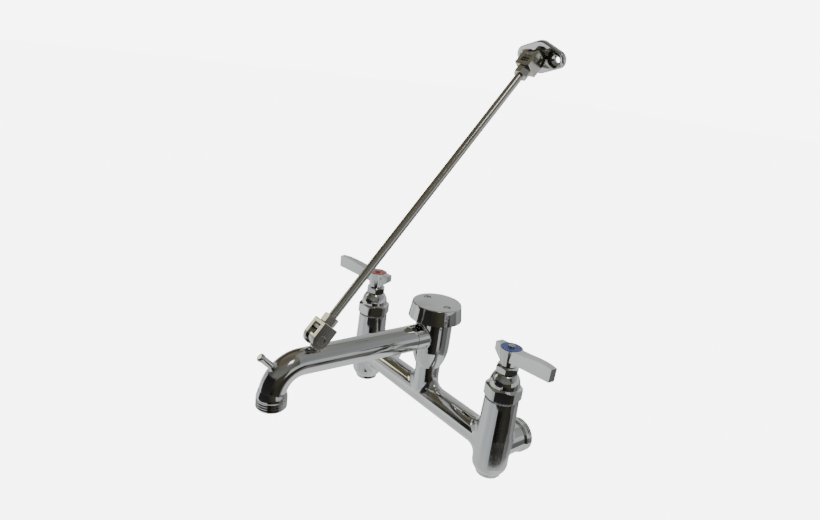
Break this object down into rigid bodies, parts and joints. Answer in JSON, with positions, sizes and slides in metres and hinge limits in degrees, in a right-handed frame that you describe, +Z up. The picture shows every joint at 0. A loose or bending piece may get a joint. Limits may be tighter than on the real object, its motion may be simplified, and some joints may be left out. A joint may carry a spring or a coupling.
{
  "type": "service sink faucet",
  "caption": "Wall-mounted service-sink faucet: lever valves on a bridge, vented vacuum breaker, hose-thread spout with pail hook, hinged top brace to a wall flange.",
  "frame": {"origin": "midway between the hot and cold inlets, on their wall-side end faces", "axes": "+Z up, +Y into the wall, +X from the hot side to the cold side"},
  "size_m": [0.3047, 0.289, 0.3931],
  "materials": {
    "chrome": "polished chrome plate on cast or turned brass",
    "nickel": "nickel-plated steel, semi-bright",
    "brass": "bare turned brass",
    "ceramic": "ground and lapped alumina",
    "packing": "pressed PTFE packing",
    "seal": "moulded rubber",
    "float": "moulded acetal",
    "index_red": "moulded, moderately glossy",
    "index_blue": "moulded, moderately glossy"
  },
  "bodies": {
    "faucet": {"faucet_body": "chrome", "hot_bottom_plug": "chrome", "hot_bonnet": "chrome", "hot_bonnet_gasket": "seal", "hot_packing_nut": "chrome", "hot_packing_ring": "packing", "hot_fixed_disc": "ceramic", "hot_seat_seal": "seal", "cold_bottom_plug": "chrome", "cold_bonnet": "chrome", "cold_bonnet_gasket": "seal", "cold_packing_nut": "chrome", "cold_packing_ring": "packing", "cold_fixed_disc": "ceramic", "cold_seat_seal": "seal", "vacuum_breaker_body": "chrome", "vent_gasket": "seal", "vent_ring": "brass", "breaker_cap": "chrome", "cap_screws": "nickel", "spout_gasket": "seal", "spout": "chrome", "pail_hook": "chrome"},
    "hot_valve": {"hot_lever_handle": "chrome", "hot_index_disc": "index_red", "hot_handle_screw": "nickel", "hot_valve_stem": "brass", "hot_moving_disc": "ceramic"},
    "cold_valve": {"cold_lever_handle": "chrome", "cold_index_disc": "index_blue", "cold_handle_screw": "nickel", "cold_valve_stem": "brass", "cold_moving_disc": "ceramic"},
    "float": {"breaker_float": "float", "float_seal": "seal"},
    "brace": {"lower_clevis": "nickel", "lower_pin": "nickel", "lower_jam_nut": "nickel", "brace_rod": "nickel", "upper_jam_nut": "nickel"},
    "upper_clevis": {"upper_clevis": "nickel", "upper_pin": "nickel"},
    "bracket": {"wall_bracket": "chrome"}
  },
  "joints": [
    {"name": "hot_handle_turn", "type": "hinge", "parent": "faucet", "child": "hot_valve", "pos_m": [-0.1016, -0.038, 0.092], "axis": [0, 0, 1], "range_deg": [0, 90]},
    {"name": "cold_handle_turn", "type": "hinge", "parent": "faucet", "child": "cold_valve", "pos_m": [0.1016, -0.038, 0.092], "axis": [0, 0, 1], "range_deg": [-90, 0]},
    {"name": "float_lift", "type": "slide", "parent": "faucet", "child": "float", "axis": [0, 0, 1], "range_m": [0, 0.0109]},
    {"name": "brace_swing", "type": "hinge", "parent": "faucet", "child": "brace", "pos_m": [0, -0.1756, 0.09229], "axis": [1, 0, 0], "range_deg": [-37, 120]},
    {"name": "upper_clevis_turn", "type": "hinge", "parent": "brace", "child": "upper_clevis", "pos_m": [0, 0.04046, 0.34437], "axis": [0, 0.6508, 0.7593], "range_deg": [-90, 90]},
    {"name": "bracket_swing", "type": "hinge", "parent": "upper_clevis", "child": "bracket", "pos_m": [0, 0.04046, 0.34437], "axis": [0.9945, 0.0794, -0.068], "range_deg": [-45, 115]}
  ]
}
